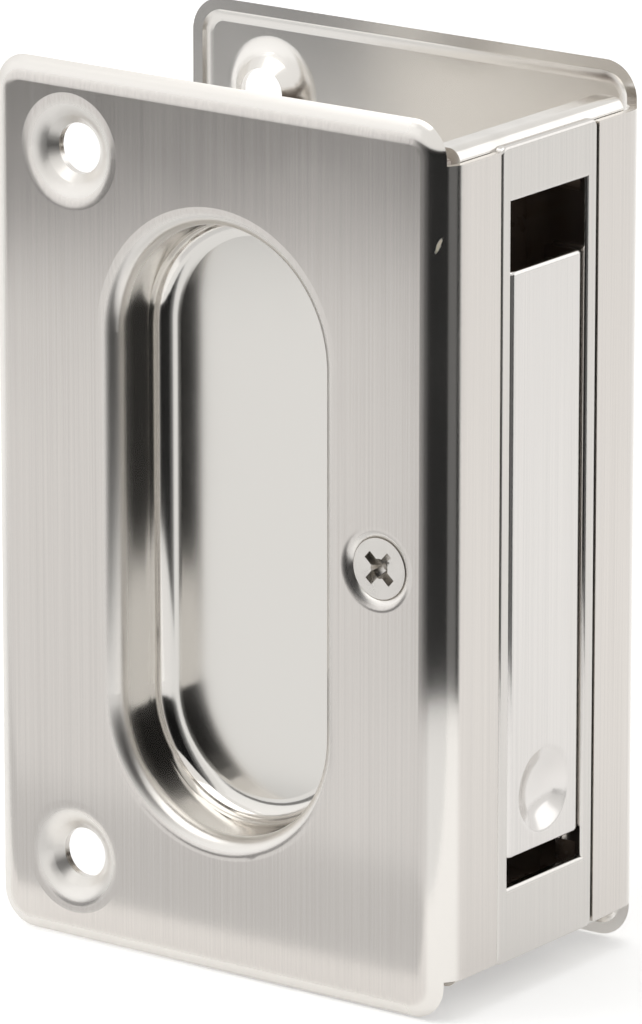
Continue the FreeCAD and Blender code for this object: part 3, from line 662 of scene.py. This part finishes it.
@dataclass
class TrimPlates:
    """The two face plates: one stamping on each side of the door."""

    nodes: tuple[str, ...] = ("front_trim_plate", "rear_trim_plate")
    flat_colour: Colour = (0.65, 0.617, 0.585)
    bright_colour: Colour = (0.74, 0.715, 0.68)
    floor_colour: Colour = (0.71, 0.69, 0.655)
    # Painted light on the plates' inner side: lighter than the bright plate, standing in for light reaching
    # it
    inner_painted_light_colour: Colour = (0.78, 0.755, 0.72)
    nick: Nick = Nick(place=(28.66 * MM, -17.98 * MM, 85.5 * MM))

    def build(self, effects: SharedEffects) -> None:
        """Dress both plates in satin nickel with bright cups.

        Args:
            effects: the shared shader groups.
        """
        edge, face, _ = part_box("rear_trim_plate")[1]
        finish = NickelFinish(
            "satin_nickel_plate",
            Zone.PLATE,
            edge,
            self.flat_colour,
            self.bright_colour,
            face=face,
            floor_colour=self.floor_colour,
            inner_painted_light_colour=self.inner_painted_light_colour,
            nick=self.nick,
        )
        material = finish.make(effects)
        for node in self.nodes:
            dress(node, material)


@dataclass
class EdgeUnit:
    """The bracket, the cover, the box behind it, the pin and the sprung pull in the door's edge."""

    nickel_pieces: tuple[tuple[str, str, Colour], ...] = (
        ("edge_cover", "satin_nickel_cover", (0.63, 0.607, 0.58)),
        ("edge_pull", "satin_nickel_pull", (0.69, 0.667, 0.645)),
    )
    bracket: WorkedMetal = WorkedMetal(
        "bright_nickel_bracket", (0.72, 0.695, 0.66), roughness=0.16, mark_scale=240.0, mark_height=0.05
    )
    # Painted shade: the box behind the window gets a dark coat that stands in for the shade inside the window
    box_painted_shade_coat: WorkedMetal = WorkedMetal(
        "dark_box_painted_shade",
        (0.19, 0.143, 0.112),
        roughness=0.28,
        mark_scale=420.0,
        mark_height=0.12,
        metallic=0.0,
    )
    pin: WorkedMetal = WorkedMetal(
        "turned_steel_pin", (0.56, 0.55, 0.53), roughness=0.26, mark_scale=900.0, mark_height=0.10
    )

    def build(self, effects: SharedEffects) -> None:
        """Dress each piece of the unit.

        Args:
            effects: the shared shader groups.
        """
        for node, name, colour in self.nickel_pieces:
            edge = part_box(node)[1].x
            dress(node, NickelFinish(name, Zone.DOOR_EDGE, edge, colour, colour).make(effects))
        plain_pieces = {"edge_bracket": self.bracket, "pull_box": self.box_painted_shade_coat, "pull_pivot_pin": self.pin}
        for node, finish in plain_pieces.items():
            dress(node, finish.make(effects))


@dataclass
class ReturnSpring:
    """The torsion spring on the pin: its press leg bears on the pull, and its hook sits in the cover."""

    node: str = "pull_return_spring"
    finish: WorkedMetal = WorkedMetal(
        "drawn_spring_wire", (0.46, 0.46, 0.47), roughness=0.30, mark_scale=1500.0, mark_height=0.12
    )
    wire_radius: float = 0.3 * MM
    coil_radius: float = 1.65 * MM
    pitch: float = 0.75 * MM
    turns: float = 4.25
    press_leg: float = 5.6 * MM
    lean: float = 1.1 * MM
    back_leg: float = 3.0 * MM
    knee_radius: float = 0.5 * MM
    still_radii: float = 1.2
    leg_steps: int = 8
    coil_steps: int = 170
    back_steps: int = 5
    knee_steps: int = 8
    hook_steps: int = 7
    wire_sides: int = 12

    def build(self, effects: SharedEffects) -> None:
        """Wind the spring in place of its solid.

        Args:
            effects: the shared shader groups.
        """
        spring = grid_mesh("pull_return_spring_wire", self._points(), wrap_across=True, caps=True)
        spring.data.materials.append(self.finish.make(effects))
        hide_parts(self.node)
        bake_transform(spring)
        LOG.info("wound %s", spring.name)

    def _points(self) -> np.ndarray:
        """Carry a round section along the wire.

        The path is a straight press leg that leans out to the back of the pull's face, a helix round the
        pin whose angle grows with y, a straight leg back from the top of the helix, a quarter-turn knee and
        a hook along y. The section starts at the y axis made square to the path, and turns with the knee to
        start at the x axis on the hook.

        Returns:
            The grid of points, one row to each section.
        """
        axis = middle("pull_pivot_pin")
        half, top = self.pitch * self.turns / 2.0, axis.z + self.coil_radius
        down = np.array([self.lean, 0.0, -self.press_leg]) / math.hypot(self.lean, self.press_leg)
        start = np.array([axis.x + self.coil_radius, -half, axis.z])
        leg = start + down * np.linspace(self.press_leg, 0.0, self.leg_steps + 1)[:-1, None]

        turn = np.linspace(0.0, self.turns, self.coil_steps + 1)
        angle = 2.0 * np.pi * turn
        coil_x = axis.x + self.coil_radius * np.cos(angle)
        coil_z = axis.z + self.coil_radius * np.sin(angle)
        coil = np.stack([coil_x, self.pitch * turn - half, coil_z], axis=-1)

        straight = np.linspace(0.0, self.back_leg - self.knee_radius, self.back_steps + 1)[1:-1, None]
        back = np.array([axis.x, half, top]) - straight * np.array([1.0, 0.0, 0.0])
        bend = np.linspace(0.0, np.pi / 2.0, self.knee_steps + 1)
        level = np.zeros_like(bend)
        corner = np.array([axis.x - self.back_leg + self.knee_radius, half + self.knee_radius, top])
        knee = corner + self.knee_radius * np.stack([-np.sin(bend), -np.cos(bend), level], axis=-1)
        hook_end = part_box(self.node)[1].y
        along = np.linspace(half + self.knee_radius, hook_end, self.hook_steps + 1)[1:]
        hook = np.stack([np.full_like(along, knee[-1, 0]), along, np.full_like(along, top)], axis=-1)

        line = np.concatenate([leg, coil, back, knee, hook])
        heading = np.gradient(line, axis=0)
        heading /= np.linalg.norm(heading, axis=1, keepdims=True)
        first = np.array([0.0, 1.0, 0.0]) - heading[:, 1:2] * heading
        first[-len(hook) - len(knee) : -len(hook)] = np.stack([np.sin(bend), np.cos(bend), level], axis=-1)
        first[-len(hook) :] = (1.0, 0.0, 0.0)
        first /= np.linalg.norm(first, axis=1, keepdims=True)
        second = np.cross(heading, first)
        around = np.linspace(0.0, 2.0 * np.pi, self.wire_sides + 1)[None, :-1, None]
        section = np.cos(around) * first[:, None] + np.sin(around) * second[:, None]
        return line[:, None] + self.wire_radius * section


@dataclass
class PlateScrews:
    """The two flat-head screws that hold the plates to the bracket, with the threads past its collars."""

    nodes: tuple[str, ...] = ("front_plate_screw", "rear_plate_screw")
    sides: tuple[float, ...] = (-1.0, 1.0)
    finish: WorkedMetal = WorkedMetal(
        "nickel_screw", (0.70, 0.675, 0.64), roughness=0.24, mark_scale=700.0, mark_height=0.10
    )
    root_radius: float = 1.66 * MM
    crest_radius: float = 1.9 * MM
    pitch: float = 0.7 * MM
    collar_end: float = 13.05 * MM
    turns: float = 2.4
    run_out: float = 0.25
    least_rise: float = 0.02
    flank: float = 0.42
    steps: int = 144

    def build(self, effects: SharedEffects) -> None:
        """Dress both screws and wind the thread that shows past each collar.

        Args:
            effects: the shared shader groups.
        """
        material = self.finish.make(effects)
        for node, side in zip(self.nodes, self.sides):
            dress(node, material)
            thread = self._thread(node, side)
            thread.data.materials.append(material)
            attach(thread, "housing")
            LOG.info("wound %s", thread.name)

    def _thread(self, node: str, side: float) -> bpy.types.Object:
        """Wind one thread ridge.

        A three-cornered section is carried along a helix round the screw's axis. Its crest rises from the
        root and falls back over the run-out at each end. The run-out is counted in turns, and the flank in
        pitches.

        Args:
            node: the screw that the thread is on.
            side: -1 for the front screw and 1 for the rear one.

        Returns:
            The thread.
        """
        axis = middle(node)
        turn = np.linspace(0.0, self.turns, self.steps + 1)
        rise = np.clip(np.minimum(turn, self.turns - turn) / self.run_out, self.least_rise, 1.0)
        crest = self.root_radius + (self.crest_radius - self.root_radius) * rise
        root = np.full_like(turn, self.root_radius)
        radius = np.stack([root, crest, root], axis=-1)
        along = self.pitch * (turn[:, None] + np.array([-self.flank, 0.0, self.flank]))
        angle = 2.0 * np.pi * turn[:, None]
        points_x = axis.x + radius * np.cos(angle)
        points_z = axis.z - side * radius * np.sin(angle)
        points = np.stack([points_x, side * (self.collar_end - along), points_z], axis=-1)
        return grid_mesh(f"{node}_thread", points, wrap_across=True, caps=True)


@dataclass(frozen=True)
class Card:
    """A studio card that only reflections see.

    The corners of an upright card are a distance from the centre, an azimuth counted as a view's is and a
    height. Those of a flat card are x, y and z.
    """

    name: str
    tone: float
    form: CardForm
    first: Place
    last: Place
    columns: int = 33
    rows: int = 3

    def build(self, centre: Vector) -> None:
        """Make the card, seen by glossy rays alone.

        Args:
            centre: the point that an upright card goes round.
        """
        card = grid_mesh(self.name, self._points(centre), wrap_across=False, caps=False)
        material = bpy.data.materials.new(self.name)
        material.use_nodes = True
        material.node_tree.nodes.clear()
        desk = NodeDesk(material.node_tree)
        glow = desk.add("Emission")
        desk.feed(glow.inputs["Color"], (self.tone, self.tone, self.tone))
        desk.feed(desk.add("OutputMaterial").inputs["Surface"], glow.outputs[0])
        card.data.materials.append(material)
        card.visible_camera = False
        card.visible_diffuse = False
        card.visible_shadow = False
        card.visible_transmission = False
        LOG.info("set up %s", card.name)

    def _points(self, centre: Vector) -> np.ndarray:
        """Spread a grid between the two corners: on an arc round the centre, or level.

        Args:
            centre: the point that an upright card goes round.

        Returns:
            The grid of points.
        """
        first, last = np.array(self.first), np.array(self.last)
        across, up = np.meshgrid(np.linspace(0.0, 1.0, self.columns), np.linspace(0.0, 1.0, self.rows))
        if self.form is CardForm.FLAT:
            share = np.stack([across, up, np.zeros_like(up)], axis=-1)
            return first + (last - first) * share
        distance = first[0] + (last[0] - first[0]) * up
        angle = np.radians(first[1] + (last[1] - first[1]) * across)
        height = first[2] + (last[2] - first[2]) * up
        return np.stack(
            [centre.x + distance * np.sin(angle), centre.y - distance * np.cos(angle), height],
            axis=-1,
        )


@dataclass(frozen=True)
class SoftBox:
    """A square lamp, with the brightness of its surface given so that 1 is white."""

    name: str
    place: Place
    side: float
    radiance: float

    def build(self, aim: Vector) -> None:
        """Hang the lamp so that it faces the part.

        Args:
            aim: the point that it faces.
        """
        light = bpy.data.lights.new(self.name, "AREA")
        light.shape = "SQUARE"
        light.size = self.side
        light.energy = self.radiance * math.pi * self.side**2
        lamp = bpy.data.objects.new(self.name, light)
        lamp.location = self.place
        lamp.rotation_euler = (aim - lamp.location).to_track_quat("-Z", "Y").to_euler()
        bpy.context.scene.collection.objects.link(lamp)
        LOG.info("hung %s", lamp.name)


@dataclass
class Studio:
    """White floor, soft light, reflection cards and the camera, with lengths in metres and angles in degrees.

    The cards on the right stand side by side on one arc, close to the door's edge. Their azimuths are the
    arc's ends and the joints between the cards.
    """

    aim: Place = (0.34 * MM, -0.19 * MM, 47.97 * MM)
    azimuth: float = 36.37
    elevation: float = 15.69
    distance: float = 937.0 * MM
    lens: float = 303.14
    sensor: float = 36.0
    nearest: float = 0.01
    floor_half: float = 3.0
    floor_height: float = -0.2 * MM
    floor_colour: Colour = (0.93, 0.93, 0.925)
    floor_roughness: float = 0.9
    floor_shine: float = 0.1
    floor_glow: Colour = (1.0, 1.0, 1.0)
    floor_lift: float = 0.36
    surround: float = 0.6
    surround_colour: Colour = (1.0, 0.995, 0.985)
    lamp_aim: Place = (0.0, 0.0, 0.05)
    lamps: tuple[SoftBox, ...] = (
        SoftBox("overhead_soft_box", (-0.05, -0.10, 0.80), 0.7, 1.25),
        SoftBox("left_soft_box", (-0.75, -0.55, 0.55), 0.6, 2.0),
    )
    card_centre: Place = (0.03, -0.018, 0.0)
    right_distance: float = 0.065
    right_heights: Span = (0.016, 0.105)
    right_azimuths: tuple[float, ...] = (-32.0, -21.0, -8.0, 64.0, 98.0, 113.0)
    right_tones: tuple[tuple[str, float], ...] = (
        ("pale_card_right", 0.28),
        ("shade_card_right", 0.09),
        ("dark_card_right", 0.008),
        ("dim_card_right", 0.16),
        ("thin_card_right", 0.02),
    )
    far_cards: tuple[Card, ...] = (
        Card("grey_card_upper", 0.25, CardForm.UPRIGHT, (0.357, -66.0, 0.0), (0.357, -29.0, 0.06)),
        Card("white_card_left", 1.15, CardForm.UPRIGHT, (0.6, -80.0, 0.0), (0.6, -16.0, 0.6)),
        Card("white_card_rear", 1.6, CardForm.UPRIGHT, (0.6, 112.0, 0.12), (0.6, 172.0, 0.6)),
        Card("white_card_low", 1.0, CardForm.FLAT, (-0.45, -0.45, 0.0004), (0.45, -0.06, 0.0004)),
        Card("grey_card_low", 0.80, CardForm.FLAT, (-0.22, -0.06, 0.0004), (0.02, -0.03, 0.0004)),
    )

    def build(self) -> None:
        """Set up everything round the part."""
        self._world()
        self._floor()
        for card in (*self._right_cards(), *self.far_cards):
            card.build(Vector(self.card_centre))
        for lamp in self.lamps:
            lamp.build(Vector(self.lamp_aim))
        self._camera()

    def _right_cards(self) -> list[Card]:
        """Lay out the cards on the right, each from one azimuth to the next.

        Returns:
            The cards, from the front of the part round to its back.
        """
        low, high = self.right_heights
        cards = []
        for (name, tone), start, end in zip(self.right_tones, self.right_azimuths, self.right_azimuths[1:]):
            corners = (self.right_distance, start, low), (self.right_distance, end, high)
            cards.append(Card(name, tone, CardForm.UPRIGHT, *corners))
        return cards

    @staticmethod
    def _seen(desk: NodeDesk) -> bpy.types.NodeSocket:
        """Give 1 on rays from the camera, from metal and through glass, and 0 on the rest.

        Args:
            desk: the desk of the tree that asks.

        Returns:
            The value for the ray.
        """
        path = desk.add("LightPath").outputs
        mirrored = desk.work_out("MAXIMUM", path["Is Glossy Ray"], path["Is Transmission Ray"])
        return desk.work_out("MAXIMUM", path["Is Camera Ray"], mirrored)

    def _world(self) -> None:
        """Light the scene from a plain pale surround that looks white."""
        world = bpy.context.scene.world or bpy.data.worlds.new("studio")
        bpy.context.scene.world = world
        world.use_nodes = True
        background = world.node_tree.nodes["Background"]
        desk = NodeDesk(world.node_tree)
        desk.feed(background.inputs["Color"], self.surround_colour)
        desk.feed(background.inputs["Strength"], desk.ramp(self._seen(desk), (0.0, 1.0), self.surround, 1.0))

    def _floor(self) -> None:
        """Lay a white floor that keeps the part's shadow."""
        ends = np.array([-self.floor_half, 0.0, self.floor_half])
        across, along = np.meshgrid(ends, ends)
        points = np.stack([across, along, np.full_like(across, self.floor_height)], axis=-1)
        floor = grid_mesh("studio_floor", points, wrap_across=False, caps=False)
        material, desk, shader = principled("studio_floor_white")
        lift = desk.work_out("MULTIPLY", self._seen(desk), self.floor_lift)
        looks = {
            "Base Color": self.floor_colour,
            "Roughness": self.floor_roughness,
            "Specular IOR Level": self.floor_shine,
            "Emission Color": self.floor_glow,
            "Emission Strength": lift,
        }
        desk.feed_all(shader, looks)
        floor.data.materials.append(material)
        LOG.info("laid %s", floor.name)

    def _camera(self) -> None:
        """Set the camera at the photograph's viewing angle."""
        turn, rise = math.radians(self.azimuth), math.radians(self.elevation)
        back = Vector((math.sin(turn) * math.cos(rise), -math.cos(turn) * math.cos(rise), math.sin(rise)))
        lens = bpy.data.cameras.new("product_camera")
        lens.lens = self.lens
        lens.sensor_width = self.sensor
        lens.sensor_fit = "AUTO"
        lens.clip_start = self.nearest
        camera = bpy.data.objects.new("product_camera", lens)
        camera.location = Vector(self.aim) + back * self.distance
        camera.rotation_euler = (-back).to_track_quat("-Z", "Y").to_euler()
        bpy.context.scene.collection.objects.link(camera)
        bpy.context.scene.camera = camera
        LOG.info("placed %s", camera.name)


def main() -> None:
    """Dress the part, then set up the studio round it."""
    logging.basicConfig(level=logging.INFO, format="%(name)s: %(message)s")
    bpy.context.scene.view_settings.view_transform = "Standard"
    effects = SharedEffects()
    for unit in (TrimPlates(), EdgeUnit(), ReturnSpring(), PlateScrews()):
        unit.build(effects)
    Studio().build()


if __name__ == "__main__":
    main()
